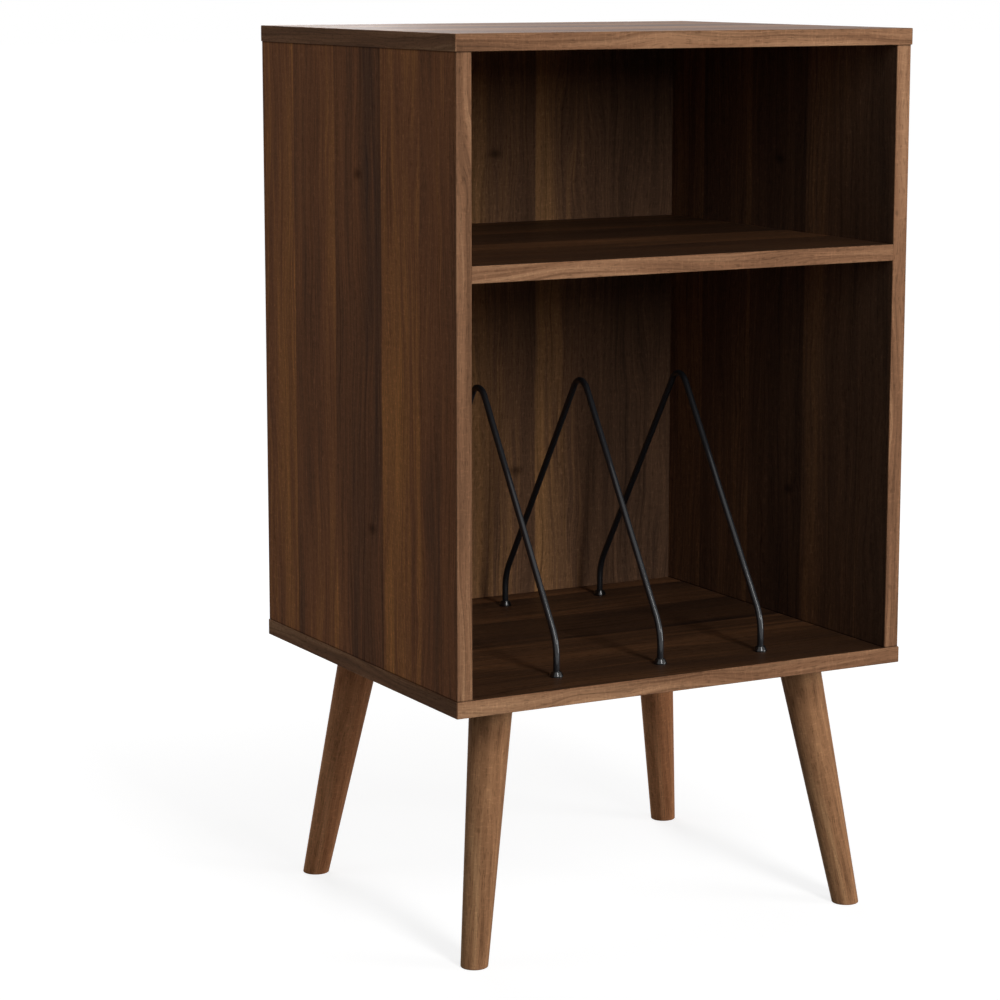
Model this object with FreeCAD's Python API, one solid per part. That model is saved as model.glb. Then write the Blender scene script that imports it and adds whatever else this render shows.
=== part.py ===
import FreeCAD, Part
import math
import os

# Turntable stand: a walnut-laminate carcass with an open compartment over a record bay,
# three lift-out wire dividers, and four splayed legs.
# Millimetres. +Z is up, the front faces -Y, and the origin is on the floor
# in the middle of the footprint.

# Carcass boards
WIDTH = 470.0               # top and base panels, left to right
DEPTH = 396.0               # top and base panels, front to back
CARCASS_HEIGHT = 590.0      # underside of the base panel to the upper face of the top panel
BOARD = 15.0                # thickness of every carcass board
OVERHANG = 1.0              # top and base panels reach this far past the sides, and past their fronts
RECORD_BAY_HEIGHT = 364.0   # clear height between base panel and shelf

# Edge strips, glued round the boards
STRIP = 1.0                 # thickness of an edge strip
STRIP_JOINT = 0.05          # joint line where two strips meet at a corner
STRIP_ROUND = 0.8           # rounding of its outer edges
STRIP_ROUND_LIMIT = 0.8     # the most that the rounding takes, as a share of the strip's thickness

# Back panel, held in grooves
BACK = 3.0                  # thickness of the back panel
BACK_INSET = 6.0            # rear edge of the carcass to the rear face of the back panel
GROOVE_DEPTH = 6.0          # depth of the groove in the surrounding boards
GROOVE_CLEARANCE = 0.1      # between a face of the back panel and its groove
BACK_EDGE_GAP = 1.0         # between an edge of the back panel and the bottom of its groove
SHELF_REAR_GAP = 0.3        # between the shelf's rear edge and the back panel

# Legs
LEG_HEIGHT = 238.0          # floor to the underside of the base panel
LEG_INSET_X = 70.0          # side edge of the base panel to the leg's axis at its top
LEG_INSET_Y = 66.0          # front or rear edge of the base panel to the leg's axis at its top
LEG_SPLAY_X = 36.5          # how far the foot stands outside the top, sideways
LEG_SPLAY_Y = 34.5          # the same, to the front or rear
LEG_TOP_RADIUS = 20.0
LEG_FOOT_RADIUS = 12.5
FOOT_ROUND = 1.0            # rounding of the foot's lower rim

# Leg plates
PLATE = 68.0                # side of the square plate
PLATE_THICKNESS = 2.5
PLATE_CORNER = 8.0          # corner radius
PLATE_SCREW_INSET = 8.0     # edge of the plate to a corner screw's axis
LEG_SCREW_OFFSET = 9.0      # leg's axis to a screw that holds the leg, square to the splay

# Screws
SCREW_CLEARANCE = 0.05      # radial, between a screw and its hole
SCREW_END_GAP = 1.0         # between a screw's point and the end of its hole
PLATE_SCREW_RADIUS = 2.0
PLATE_SCREW_HEAD = 4.0      # head radius
PLATE_SCREW_LENGTH = 14.0
LEG_SCREW_RADIUS = 2.5
LEG_SCREW_HEAD = 4.8        # head radius
LEG_SCREW_LENGTH = 34.0
BASE_SCREW_RADIUS = 3.5
BASE_SCREW_HEAD = 5.0       # head radius
BASE_SCREW_LENGTH = 50.0
JOINT_END_INSET = 50.0      # front or rear edge of a side panel to its first dowel or screw
RECESS_WIDTH = 0.3          # arm width of a cross recess, as a share of the head's radius
RECESS_LENGTH = 1.2         # arm length of a cross recess, as a share of the head's radius
RECESS_DEPTH = 1.4          # depth of a cross recess

# Dowels
DOWEL_RADIUS = 4.0
DOWEL_LENGTH = 30.0
DOWEL_CHAMFER = 1.0
DOWEL_SKIN = 5.0            # board left over a dowel hole drilled into its face
DOWEL_CLEARANCE = 0.05      # radial glue gap
DOWEL_END_GAP = 0.5         # between a dowel's end and the bottom of its hole
SHELF_DOWEL_INSET = 105.0   # front or rear edge of the shelf to its dowel

# Cam fittings under the shelf
CAM_RADIUS = 7.5
CAM_SKIN = 2.5              # board left over the cam's hole
CAM_CLEARANCE = 0.1         # round and above the cam
CAM_INSET = 55.0            # front or rear edge of the shelf to the cam
CAM_SETBACK = 24.0          # end of the shelf to the cam's axis
CAM_SLOT_WIDTH = 1.6
CAM_SLOT_LENGTH = 9.0
CAM_SLOT_DEPTH = 2.0
BOLT_RADIUS = 3.0
BOLT_NECK_RADIUS = 2.1
BOLT_HEAD_RADIUS = 3.3
BOLT_HEAD_LENGTH = 3.0
BOLT_NECK_LENGTH = 6.0
BOLT_SKIN = 4.0             # board left over the bolt's hole in the side panel
BOLT_CLEARANCE = 0.1        # round the bolt

# Wire dividers
DIVIDER_NAMES = ("left", "middle", "right")
DIVIDER_SPAN = 296.0        # between the axes of a divider's two feet
DIVIDER_HEIGHT = 247.5      # base panel to the top of the wire
WIRE_RADIUS = 3.0
FOOT_STRAIGHT = 17.5        # upright length of wire above the base panel
FOOT_BEND = 47.0            # bend above the foot, on the wire's axis
APEX_BEND = 14.0            # bend at the top, on the wire's axis

# Bushes that hold the wire feet
WIRE_CLEARANCE = 0.06       # radial, between wire and bush
BUSH_WALL = 1.94            # round the wire, in the base panel
BUSH_SKIN = 3.0             # board left under a bush
BUSH_BOTTOM = 1.5           # floor of the bush, on which the wire stands
BUSH_CLEARANCE = 0.05       # radial, between bush and base panel
COLLAR_RIM = 1.2            # how far the conical collar reaches past the bush on the base panel
COLLAR_TOP_WALL = 1.44      # round the wire, at the collar's upper end
COLLAR_HEIGHT = 5.0
COLLAR_LIP = 1.2            # upright rim under the cone

# Derived planes
BASE_BOTTOM = LEG_HEIGHT
BASE_TOP = BASE_BOTTOM + BOARD
SHELF_BOTTOM = BASE_TOP + RECORD_BAY_HEIGHT
SHELF_TOP = SHELF_BOTTOM + BOARD
TOP_TOP = BASE_BOTTOM + CARCASS_HEIGHT
TOP_BOTTOM = TOP_TOP - BOARD
HALF_WIDTH = WIDTH / 2
FRONT = -DEPTH / 2
REAR = DEPTH / 2
SIDE_OUTER = HALF_WIDTH - OVERHANG
SIDE_INNER = SIDE_OUTER - BOARD
SIDE_FRONT = FRONT + OVERHANG
BACK_REAR = REAR - BACK_INSET
BACK_FRONT = BACK_REAR - BACK
SHELF_REAR = BACK_FRONT - SHELF_REAR_GAP
PLATE_BOTTOM = BASE_BOTTOM - PLATE_THICKNESS

UP = FreeCAD.Vector(0, 0, 1)
DOWN = FreeCAD.Vector(0, 0, -1)
RIGHTWARD = FreeCAD.Vector(1, 0, 0)
LEFTWARD = FreeCAD.Vector(-1, 0, 0)
MIDDLE = FreeCAD.Vector(0, 0, 0)
X_AXIS, Y_AXIS, Z_AXIS = range(3)
OVERSHOOT = 1.0             # how far a cutting tool reaches past the face it opens


def block(low, high):
    """A box between two opposite corners."""
    size = [b - a for a, b in zip(low, high)]
    return Part.makeBox(*size, FreeCAD.Vector(*low))


def turned(profile, place, direction):
    """A solid of revolution from (radius, distance along direction) points."""
    points = [FreeCAD.Vector(radius, 0, along) for radius, along in profile]
    face = Part.Face(Part.makePolygon(points + points[:1]))
    solid = face.revolve(MIDDLE, UP, 360)
    solid.Placement = FreeCAD.Placement(place, FreeCAD.Rotation(UP, direction))
    return solid


def drilled(solid, tools):
    """The solid with every tool cut out of it."""
    return solid.cut(Part.makeCompound(tools)).Solids[0]


def mirrored(solids):
    """The same solids on the left side."""
    return [solid.mirror(MIDDLE, RIGHTWARD) for solid in solids]


def both_sides(solids):
    return solids + mirrored(solids)


def strip(low, high, glue_axis, glue_value, butt_axis=None):
    """An edge strip. Edges on the glued face, and on ends that butt against a neighbour, stay sharp."""
    solid = block(low, high)

    def is_free(edge):
        ends = [vertex.Point for vertex in edge.Vertexes]
        if all(abs(end[glue_axis] - glue_value) < STRIP / 2 for end in ends):
            return False
        if butt_axis is None:
            return True
        return abs(ends[0][butt_axis] - ends[1][butt_axis]) > STRIP

    rounding = min(STRIP_ROUND, STRIP_ROUND_LIMIT * STRIP)
    return solid.makeFillet(rounding, [edge for edge in solid.Edges if is_free(edge)])


def dowel(place, direction, face_depth):
    """A chamfered dowel that stands face_depth deep in a board's face, seen along direction."""
    start = -face_depth
    end = DOWEL_LENGTH - face_depth
    neck = DOWEL_RADIUS - DOWEL_CHAMFER
    profile = [
        (0, start), (neck, start), (DOWEL_RADIUS, start + DOWEL_CHAMFER),
        (DOWEL_RADIUS, end - DOWEL_CHAMFER), (neck, end), (0, end),
    ]
    return turned(profile, place, direction)


def dowel_hole(place, direction, face_depth):
    """The hole for that dowel through both boards, with glue room at its ends."""
    radius = DOWEL_RADIUS + DOWEL_CLEARANCE
    start = -face_depth - DOWEL_END_GAP
    end = DOWEL_LENGTH - face_depth + DOWEL_END_GAP
    return turned([(0, start), (radius, start), (radius, end), (0, end)], place, direction)


def cross_recess(head_radius, place, direction):
    """The cutting tool for a screw head's cross recess."""
    half_length = head_radius * RECESS_LENGTH / 2
    half_width = head_radius * RECESS_WIDTH / 2
    arms = [
        block((-half_length, -half_width, -OVERSHOOT), (half_length, half_width, RECESS_DEPTH)),
        block((-half_width, -half_length, -OVERSHOOT), (half_width, half_length, RECESS_DEPTH)),
    ]
    recess = arms[0].fuse(arms[1])
    recess.Placement = FreeCAD.Placement(place, FreeCAD.Rotation(UP, direction))
    return recess


def countersunk_screw(radius, head, length, place, direction):
    """A countersunk screw with its head's face at place, pointing along direction."""
    cone = head - radius
    profile = [(0, 0), (head, 0), (radius, cone), (radius, length - radius), (0, length)]
    return drilled(turned(profile, place, direction), [cross_recess(head, place, direction)])


def countersunk_hole(radius, head, length, place, direction):
    """The hole for that screw, open at its head."""
    wide = head + SCREW_CLEARANCE
    narrow = radius + SCREW_CLEARANCE
    end = length + SCREW_END_GAP
    profile = [
        (0, -OVERSHOOT), (wide, -OVERSHOOT), (wide, 0),
        (narrow, head - radius), (narrow, end), (0, end),
    ]
    return turned(profile, place, direction)


# Fastener stations along the depth
SIDE_STATIONS = [SIDE_FRONT + JOINT_END_INSET, (SIDE_FRONT + REAR) / 2, REAR - JOINT_END_INSET]
BETWEEN_STATIONS = [(a + b) / 2 for a, b in zip(SIDE_STATIONS, SIDE_STATIONS[1:])]
SHELF_CAM_STATIONS = [SIDE_FRONT + CAM_INSET, SHELF_REAR - CAM_INSET]
SHELF_DOWEL_STATIONS = [SIDE_FRONT + SHELF_DOWEL_INSET, SHELF_REAR - SHELF_DOWEL_INSET]
SIDE_MIDDLE = (SIDE_INNER + SIDE_OUTER) / 2
SHELF_MIDDLE = (SHELF_BOTTOM + SHELF_TOP) / 2
FACE_DOWEL_DEPTH = BOARD - DOWEL_SKIN

# Places of the right-hand joints: the left-hand ones are their mirror images
top_dowel_places = [FreeCAD.Vector(SIDE_MIDDLE, y, TOP_BOTTOM) for y in SIDE_STATIONS]
base_dowel_places = [FreeCAD.Vector(SIDE_MIDDLE, y, BASE_TOP) for y in BETWEEN_STATIONS]
base_screw_places = [FreeCAD.Vector(SIDE_MIDDLE, y, BASE_BOTTOM) for y in SIDE_STATIONS]
shelf_dowel_places = [FreeCAD.Vector(SIDE_INNER, y, SHELF_MIDDLE) for y in SHELF_DOWEL_STATIONS]
cam_places = [FreeCAD.Vector(SIDE_INNER - CAM_SETBACK, y, SHELF_BOTTOM) for y in SHELF_CAM_STATIONS]
bolt_places = [FreeCAD.Vector(SIDE_INNER, y, SHELF_MIDDLE) for y in SHELF_CAM_STATIONS]

top_dowel_holes = [dowel_hole(place, DOWN, FACE_DOWEL_DEPTH) for place in top_dowel_places]
base_dowel_holes = [dowel_hole(place, UP, FACE_DOWEL_DEPTH) for place in base_dowel_places]
shelf_dowel_holes = [dowel_hole(place, LEFTWARD, FACE_DOWEL_DEPTH) for place in shelf_dowel_places]
base_screw_holes = [
    countersunk_hole(BASE_SCREW_RADIUS, BASE_SCREW_HEAD, BASE_SCREW_LENGTH, place, UP)
    for place in base_screw_places
]

# Cam fittings
CAM_HOLE_DEPTH = BOARD - CAM_SKIN
BOLT_SIDE_DEPTH = BOARD - BOLT_SKIN
BOLT_HEAD_END = CAM_SETBACK + BOLT_HEAD_LENGTH / 2
BOLT_HEAD_START = BOLT_HEAD_END - BOLT_HEAD_LENGTH
BOLT_NECK_START = BOLT_HEAD_START - BOLT_NECK_LENGTH


def cam_bolt(place):
    """A bolt with its thread in the side panel and its head in the cam."""
    profile = [
        (0, -BOLT_SIDE_DEPTH), (BOLT_RADIUS, -BOLT_SIDE_DEPTH), (BOLT_RADIUS, BOLT_NECK_START),
        (BOLT_NECK_RADIUS, BOLT_NECK_START), (BOLT_NECK_RADIUS, BOLT_HEAD_START),
        (BOLT_HEAD_RADIUS, BOLT_HEAD_START), (BOLT_HEAD_RADIUS, BOLT_HEAD_END), (0, BOLT_HEAD_END),
    ]
    return turned(profile, place, LEFTWARD)


def cam_bolt_hole(place):
    """The hole for a bolt, from its thread's end to the cam's axis."""
    wide = max(BOLT_RADIUS, BOLT_HEAD_RADIUS) + BOLT_CLEARANCE
    narrow = BOLT_RADIUS + BOLT_CLEARANCE
    start = -BOLT_SIDE_DEPTH - BOLT_CLEARANCE
    profile = [(0, start), (narrow, start), (narrow, 0), (wide, 0), (wide, CAM_SETBACK), (0, CAM_SETBACK)]
    return turned(profile, place, LEFTWARD)


def cam(place, bolt_place):
    """A cam disc, flush with the shelf's underside, with the socket that pulls on the bolt's head."""
    top = CAM_HOLE_DEPTH - CAM_CLEARANCE
    disc = turned([(0, 0), (CAM_RADIUS, 0), (CAM_RADIUS, top), (0, top)], place, UP)
    neck = BOLT_NECK_RADIUS + BOLT_CLEARANCE
    socket = BOLT_HEAD_RADIUS + BOLT_CLEARANCE
    socket_start = BOLT_HEAD_START - BOLT_CLEARANCE
    socket_end = BOLT_HEAD_END + BOLT_CLEARANCE
    mouth = CAM_SETBACK - CAM_RADIUS - OVERSHOOT
    channel = turned(
        [
            (0, mouth), (neck, mouth), (neck, socket_start),
            (socket, socket_start), (socket, socket_end), (0, socket_end),
        ],
        bolt_place, LEFTWARD,
    )
    shank_end = BOLT_NECK_START + BOLT_CLEARANCE
    wide = BOLT_RADIUS + BOLT_CLEARANCE
    shank = turned([(0, 0), (wide, 0), (wide, shank_end), (0, shank_end)], bolt_place, LEFTWARD)
    half = CAM_SLOT_LENGTH / 2
    low = place - FreeCAD.Vector(half, CAM_SLOT_WIDTH / 2, OVERSHOOT)
    high = place + FreeCAD.Vector(half, CAM_SLOT_WIDTH / 2, CAM_SLOT_DEPTH)
    return drilled(disc, [channel, shank, block(low, high)])


def cam_hole(place):
    radius = CAM_RADIUS + CAM_CLEARANCE
    profile = [(0, -OVERSHOOT), (radius, -OVERSHOOT), (radius, CAM_HOLE_DEPTH), (0, CAM_HOLE_DEPTH)]
    return turned(profile, place, UP)


bolt_holes = [cam_bolt_hole(place) for place in bolt_places]
cam_holes = [cam_hole(place) for place in cam_places]

# Divider bushes
BUSH_DEPTH = BOARD - BUSH_SKIN
BUSH_BORE = WIRE_RADIUS + WIRE_CLEARANCE
BUSH_RADIUS = BUSH_BORE + BUSH_WALL
COLLAR_RADIUS = BUSH_RADIUS + COLLAR_RIM
COLLAR_TOP_RADIUS = BUSH_BORE + COLLAR_TOP_WALL
WIRE_SEAT = BASE_TOP - BUSH_DEPTH + BUSH_BOTTOM
HALF_SPAN = DIVIDER_SPAN / 2
DIVIDER_MIDDLE = (SIDE_FRONT + BACK_FRONT) / 2
DIVIDER_PITCH = 2 * SIDE_INNER / (len(DIVIDER_NAMES) + 1)
divider_offsets = [(i + 1) * DIVIDER_PITCH - SIDE_INNER for i in range(len(DIVIDER_NAMES))]
divider_feet = [DIVIDER_MIDDLE - HALF_SPAN, DIVIDER_MIDDLE + HALF_SPAN]
bush_places = [FreeCAD.Vector(x, y, BASE_TOP) for x in divider_offsets for y in divider_feet]


def bush(place):
    """A closed bush in the base panel, with a conical collar on its upper face."""
    seat = WIRE_SEAT - BASE_TOP
    profile = [
        (0, -BUSH_DEPTH), (BUSH_RADIUS, -BUSH_DEPTH), (BUSH_RADIUS, 0), (COLLAR_RADIUS, 0),
        (COLLAR_RADIUS, COLLAR_LIP), (COLLAR_TOP_RADIUS, COLLAR_HEIGHT), (BUSH_BORE, COLLAR_HEIGHT),
        (BUSH_BORE, seat), (0, seat),
    ]
    return turned(profile, place, UP)


def bush_hole(place):
    radius = BUSH_RADIUS + BUSH_CLEARANCE
    profile = [(0, -BUSH_DEPTH), (radius, -BUSH_DEPTH), (radius, OVERSHOOT), (0, OVERSHOOT)]
    return turned(profile, place, UP)


# Legs, their plates and screws. Each corner is (side, end): -1 is left or front, 1 is right or rear.
CORNERS = {
    "front_left": (-1, -1),
    "front_right": (1, -1),
    "rear_left": (-1, 1),
    "rear_right": (1, 1),
}


def leg_ends(side, end):
    """Points on a leg's axis: on the floor, and at the underside of the base panel."""
    top_x = side * (HALF_WIDTH - LEG_INSET_X)
    top_y = end * (REAR - LEG_INSET_Y)
    foot = FreeCAD.Vector(top_x + side * LEG_SPLAY_X, top_y + end * LEG_SPLAY_Y, 0)
    return foot, FreeCAD.Vector(top_x, top_y, BASE_BOTTOM)


def leg_screw_places(side, end):
    """Two screws through the plate into the leg, on a line square to the splay."""
    foot, top = leg_ends(side, end)
    splay = FreeCAD.Vector(foot.x - top.x, foot.y - top.y, 0)
    across = splay.cross(UP).normalize()
    return [top + across * (sign * LEG_SCREW_OFFSET) for sign in (-1, 1)]


def plate_screw_places(side, end):
    """Four screws at the plate's corners, seen from below."""
    top = leg_ends(side, end)[1]
    reach = PLATE / 2 - PLATE_SCREW_INSET
    centre = FreeCAD.Vector(top.x, top.y, PLATE_BOTTOM)
    return [centre + FreeCAD.Vector(i * reach, j * reach, 0) for i in (-1, 1) for j in (-1, 1)]


def leg_screw_hole(place):
    return countersunk_hole(LEG_SCREW_RADIUS, LEG_SCREW_HEAD, LEG_SCREW_LENGTH, place, DOWN)


def plate_screw_hole(place):
    return countersunk_hole(PLATE_SCREW_RADIUS, PLATE_SCREW_HEAD, PLATE_SCREW_LENGTH, place, UP)


def leg(side, end):
    """A tapered leg along its slanted axis, cut level under the plate and at the floor."""
    foot, top = leg_ends(side, end)
    axis = top - foot
    taper = (LEG_TOP_RADIUS - LEG_FOOT_RADIUS) / axis.Length
    direction = axis.normalize()
    spare = LEG_TOP_RADIUS
    start = foot - direction * spare
    length = (top - foot).Length + 2 * spare
    start_radius = LEG_FOOT_RADIUS - taper * spare
    cone = Part.makeCone(start_radius, start_radius + taper * length, length, start, direction)
    level = block((-WIDTH, -DEPTH, 0), (WIDTH, DEPTH, PLATE_BOTTOM))
    cut = cone.common(level).Solids[0]
    rim = [edge for edge in cut.Edges if edge.CenterOfMass.z < FOOT_ROUND]
    rounded = cut.makeFillet(FOOT_ROUND, rim)
    return drilled(rounded, [leg_screw_hole(place) for place in leg_screw_places(side, end)])


def leg_plate(side, end):
    """A square steel plate between a leg and the base panel."""
    top = leg_ends(side, end)[1]
    half = PLATE / 2
    low = (top.x - half, top.y - half, PLATE_BOTTOM)
    plate = block(low, (top.x + half, top.y + half, BASE_BOTTOM))
    upright = [edge for edge in plate.Edges if edge.BoundBox.ZLength > PLATE_THICKNESS / 2]
    plate = plate.makeFillet(PLATE_CORNER, upright)
    holes = [leg_screw_hole(place) for place in leg_screw_places(side, end)]
    holes += [plate_screw_hole(place) for place in plate_screw_places(side, end)]
    return drilled(plate, holes)


all_plate_screw_places = [p for corner in CORNERS.values() for p in plate_screw_places(*corner)]
all_leg_screw_places = [p for corner in CORNERS.values() for p in leg_screw_places(*corner)]

# Groove for the back panel, cut from all four boards round it
BACK_HALF_WIDTH = SIDE_INNER + GROOVE_DEPTH - BACK_EDGE_GAP
BACK_BOTTOM = BASE_TOP - GROOVE_DEPTH
BACK_TOP = TOP_BOTTOM + GROOVE_DEPTH - BACK_EDGE_GAP
groove = block(
    (-SIDE_INNER - GROOVE_DEPTH, BACK_FRONT - GROOVE_CLEARANCE, BACK_BOTTOM),
    (SIDE_INNER + GROOVE_DEPTH, BACK_REAR + GROOVE_CLEARANCE, TOP_BOTTOM + GROOVE_DEPTH),
)


def top_panel():
    core = block(
        (-HALF_WIDTH + STRIP, FRONT + STRIP, TOP_BOTTOM),
        (HALF_WIDTH - STRIP, REAR - STRIP, TOP_TOP),
    )
    return drilled(core, [groove] + both_sides(top_dowel_holes))


def base_panel():
    core = block(
        (-HALF_WIDTH + STRIP, FRONT + STRIP, BASE_BOTTOM),
        (HALF_WIDTH - STRIP, REAR - STRIP, BASE_TOP),
    )
    holes = both_sides(base_dowel_holes + base_screw_holes)
    holes += [plate_screw_hole(place) for place in all_plate_screw_places]
    holes += [bush_hole(place) for place in bush_places]
    return drilled(core, [groove] + holes)


def right_side_panel():
    core = block((SIDE_INNER, SIDE_FRONT + STRIP, BASE_TOP), (SIDE_OUTER, REAR - STRIP, TOP_BOTTOM))
    holes = top_dowel_holes + base_dowel_holes + base_screw_holes + shelf_dowel_holes + bolt_holes
    return drilled(core, [groove] + holes)


def shelf():
    core = block((-SIDE_INNER, SIDE_FRONT + STRIP, SHELF_BOTTOM), (SIDE_INNER, SHELF_REAR, SHELF_TOP))
    return drilled(core, both_sides(shelf_dowel_holes + cam_holes + bolt_holes))


def back_panel():
    return block((-BACK_HALF_WIDTH, BACK_FRONT, BACK_BOTTOM), (BACK_HALF_WIDTH, BACK_REAR, BACK_TOP))


def wrap_edging(bottom, top):
    """Strips round all four edges of the top or base panel: the front and rear ones cover the ends."""
    front = FRONT + STRIP
    rear = REAR - STRIP
    right = HALF_WIDTH - STRIP
    low = (right, front + STRIP_JOINT, bottom)
    side = strip(low, (HALF_WIDTH, rear - STRIP_JOINT, top), X_AXIS, right, Y_AXIS)
    return [
        strip((-HALF_WIDTH, FRONT, bottom), (HALF_WIDTH, front, top), Y_AXIS, front),
        strip((-HALF_WIDTH, rear, bottom), (HALF_WIDTH, REAR, top), Y_AXIS, rear),
    ] + both_sides([side])


def side_edging():
    """Upright strips on the front and rear edges of the right side panel."""
    front = SIDE_FRONT + STRIP
    rear = REAR - STRIP
    return [
        strip((SIDE_INNER, SIDE_FRONT, BASE_TOP), (SIDE_OUTER, front, TOP_BOTTOM), Y_AXIS, front, Z_AXIS),
        strip((SIDE_INNER, rear, BASE_TOP), (SIDE_OUTER, REAR, TOP_BOTTOM), Y_AXIS, rear, Z_AXIS),
    ]


def shelf_edging():
    front = SIDE_FRONT + STRIP
    low = (-SIDE_INNER, SIDE_FRONT, SHELF_BOTTOM)
    return strip(low, (SIDE_INNER, front, SHELF_TOP), Y_AXIS, front, X_AXIS)


def divider(x):
    """One length of round wire, bent into an A with upright feet, in the plane at x."""
    apex_height = DIVIDER_HEIGHT - WIRE_RADIUS
    # The slanted run is tangent to the foot bend and to the apex bend
    to_apex = FreeCAD.Vector(FOOT_BEND - HALF_SPAN, apex_height - APEX_BEND - FOOT_STRAIGHT, 0)
    turn = math.atan2(to_apex.y, to_apex.x) - math.acos((FOOT_BEND - APEX_BEND) / to_apex.Length)

    def on_bend(centre_y, centre_z, radius, angle):
        return centre_y + radius * math.cos(angle), centre_z + radius * math.sin(angle)

    foot_centre = (HALF_SPAN - FOOT_BEND, FOOT_STRAIGHT)
    apex_centre = (0, apex_height - APEX_BEND)
    foot_end = (HALF_SPAN, WIRE_SEAT - BASE_TOP)
    bend_start = (HALF_SPAN, FOOT_STRAIGHT)
    bend_middle = on_bend(*foot_centre, FOOT_BEND, turn / 2)
    bend_end = on_bend(*foot_centre, FOOT_BEND, turn)
    apex_start = on_bend(*apex_centre, APEX_BEND, turn)
    apex_top = (0, apex_height)

    def at(point, end):
        return FreeCAD.Vector(x, DIVIDER_MIDDLE + end * point[0], BASE_TOP + point[1])

    def line(a, b):
        return Part.LineSegment(a, b).toShape()

    def arc(a, b, c):
        return Part.Arc(a, b, c).toShape()

    path = Part.Wire([
        line(at(foot_end, 1), at(bend_start, 1)),
        arc(at(bend_start, 1), at(bend_middle, 1), at(bend_end, 1)),
        line(at(bend_end, 1), at(apex_start, 1)),
        arc(at(apex_start, 1), at(apex_top, 1), at(apex_start, -1)),
        line(at(apex_start, -1), at(bend_end, -1)),
        arc(at(bend_end, -1), at(bend_middle, -1), at(bend_start, -1)),
        line(at(bend_start, -1), at(foot_end, -1)),
    ])
    section = Part.Wire([Part.makeCircle(WIRE_RADIUS, at(foot_end, 1), UP)])
    wire = path.makePipeShell([section], True, True)
    expected = math.pi * WIRE_RADIUS ** 2 * path.Length
    print("divider wire", round(path.Length, 1), "mm, volume over section times length:",
          round(wire.Volume / expected, 5))
    return wire


right_side = right_side_panel()
right_edging = side_edging()
nodes = {
    "top_panel": [top_panel()],
    "base_panel": [base_panel()],
    "right_side_panel": [right_side],
    "left_side_panel": mirrored([right_side]),
    "shelf": [shelf()],
    "back_panel": [back_panel()],
    "top_edging": wrap_edging(TOP_BOTTOM, TOP_TOP),
    "base_edging": wrap_edging(BASE_BOTTOM, BASE_TOP),
    "right_side_edging": right_edging,
    "left_side_edging": mirrored(right_edging),
    "shelf_edging": [shelf_edging()],
    "top_dowels": both_sides([dowel(place, DOWN, FACE_DOWEL_DEPTH) for place in top_dowel_places]),
    "base_dowels": both_sides([dowel(place, UP, FACE_DOWEL_DEPTH) for place in base_dowel_places]),
    "shelf_dowels": both_sides([dowel(place, LEFTWARD, FACE_DOWEL_DEPTH) for place in shelf_dowel_places]),
    "base_screws": both_sides([
        countersunk_screw(BASE_SCREW_RADIUS, BASE_SCREW_HEAD, BASE_SCREW_LENGTH, place, UP)
        for place in base_screw_places
    ]),
    "shelf_cams": both_sides([cam(*places) for places in zip(cam_places, bolt_places)]),
    "shelf_cam_bolts": both_sides([cam_bolt(place) for place in bolt_places]),
    "leg_plate_screws": [
        countersunk_screw(PLATE_SCREW_RADIUS, PLATE_SCREW_HEAD, PLATE_SCREW_LENGTH, place, UP)
        for place in all_plate_screw_places
    ],
    "leg_screws": [
        countersunk_screw(LEG_SCREW_RADIUS, LEG_SCREW_HEAD, LEG_SCREW_LENGTH, place, DOWN)
        for place in all_leg_screw_places
    ],
    "divider_bushes": [bush(place) for place in bush_places],
}
for name, x in zip(DIVIDER_NAMES, divider_offsets):
    nodes[f"{name}_divider"] = [divider(x)]
for name, corner in CORNERS.items():
    nodes[f"{name}_leg"] = [leg(*corner)]
    nodes[f"{name}_leg_plate"] = [leg_plate(*corner)]

os.makedirs("parts", exist_ok=True)
for name, solids in nodes.items():
    faults = [solid for solid in solids if not solid.isValid() or solid.Volume <= 0]
    if faults:
        print(name, "has", len(faults), "faulty solids")
    shape = solids[0] if len(solids) == 1 else Part.makeCompound(solids)
    shape.exportStep(f"parts/{name}.step")
print(len(nodes), "nodes,", sum(len(solids) for solids in nodes.values()), "solids")
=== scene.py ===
# %% [markdown]
# # A turntable stand
# The stand is a cabinet of walnut-laminate boards on four turned legs. An open compartment lies over a
# record bay, and three wire dividers keep the records upright. The boards, strips, legs and fittings come
# from the CAD frame at their real size and place. This lesson gives each surface its finish, models the
# wires and the collars that hold them, and then lights the stand.

# %% Load the frame
import math

import bpy
from mathutils import Matrix, Vector


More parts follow.
